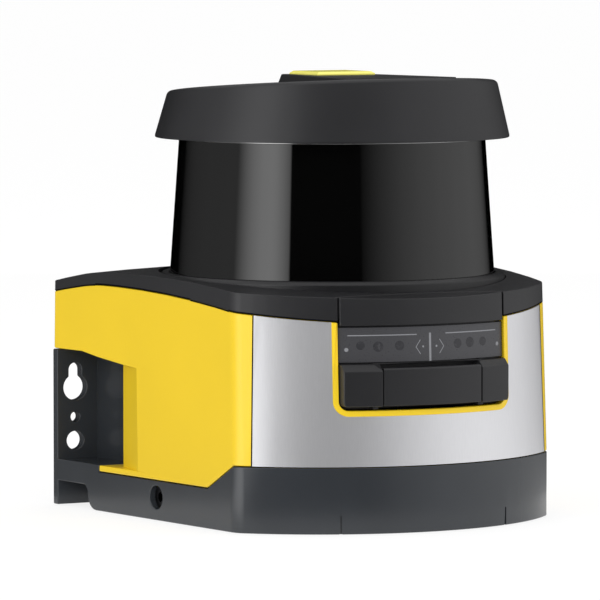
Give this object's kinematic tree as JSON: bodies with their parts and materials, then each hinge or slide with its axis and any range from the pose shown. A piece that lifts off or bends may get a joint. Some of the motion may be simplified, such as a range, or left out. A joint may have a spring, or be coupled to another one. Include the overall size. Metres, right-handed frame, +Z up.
{
  "type": "safety laser scanner",
  "caption": "Safety laser scanner: yellow housing with curved front and display on a dark base with ears; black window under a round cap hides a spinning mirror.",
  "frame": {"origin": "on the mirror's spin axis, in the plane of the base's underside, which is also the middle of the footprint", "axes": "+Z up along the spin axis, -Y towards the display and the scan's zero direction, +X to the viewer's right when facing the display"},
  "size_m": [0.1416, 0.1416, 0.149],
  "materials": {
    "base_casting": "fine-textured anthracite paint on die-cast aluminium",
    "yellow_housing": "satin yellow paint on a die-cast housing",
    "silver_foil": "satin silver foil",
    "charcoal_plastic": "finely grained moulding",
    "black_plastic": "plain moulding",
    "smoked_window": "polished, transmits infrared only",
    "display_pane": "smoked, lightly frosted",
    "rubber": "matt",
    "marker_yellow": "moulded yellow",
    "steel": "zinc plated",
    "aluminium": "machined",
    "copper_coils": "enamelled copper wire",
    "brass": "turned",
    "circuit_board": "solder resist",
    "lens_glass": "polished",
    "mirror_glass": "front-surface coating",
    "contact_beige": "moulded"
  },
  "bodies": {
    "housing": {"connection_base": "base_casting", "base_lid": "aluminium", "lid_screws": "steel", "connection_board": "circuit_board", "config_memory": "black_plastic", "base_plug": "black_plastic", "interface_seal": "rubber", "cable_grommets": "rubber", "terminal_block": "contact_beige", "lock_screws": "steel", "housing_shell": "yellow_housing", "housing_bolts": "steel", "unit_socket": "black_plastic", "front_foil": "silver_foil", "top_cover": "charcoal_plastic", "display_bezel": "charcoal_plastic", "display_window": "display_pane", "display_module": "black_plastic", "display_board": "circuit_board", "status_leds": "lens_glass", "usb_socket": "steel", "flap_pin": "steel", "collar_ring": "black_plastic", "window_seal": "rubber", "optics_window": "smoked_window", "upper_seal": "rubber", "rear_pillar": "base_casting", "pillar_screws": "steel", "head_plate": "aluminium", "cap": "charcoal_plastic", "cap_screws": "steel", "top_marker": "marker_yellow", "motor_flange": "aluminium", "stator_core": "copper_coils", "bearing_upper": "steel", "bearing_lower": "steel", "encoder_sensor": "black_plastic", "optics_carrier": "black_plastic", "receiver_lens": "lens_glass", "beam_tube": "black_plastic", "laser_module": "brass", "receiver_board": "circuit_board", "photodiode": "brass", "main_board": "circuit_board", "power_board": "circuit_board", "monitor_sensors": "black_plastic"},
    "rotor": {"motor_bell": "aluminium", "mirror_shaft": "steel", "encoder_disc": "aluminium", "mirror_holder": "black_plastic", "scan_mirror": "mirror_glass"},
    "flap": {"usb_flap": "charcoal_plastic"}
  },
  "joints": [
    {"name": "mirror_spin", "type": "hinge", "parent": "housing", "child": "rotor", "pos_m": [0, 0, 0.104], "axis": [0, 0, 1], "continuous": true},
    {"name": "flap_hinge", "type": "hinge", "parent": "housing", "child": "flap", "pos_m": [0, -0.06863, 0.0446], "axis": [1, 0, 0], "range_deg": [0, 90]}
  ]
}
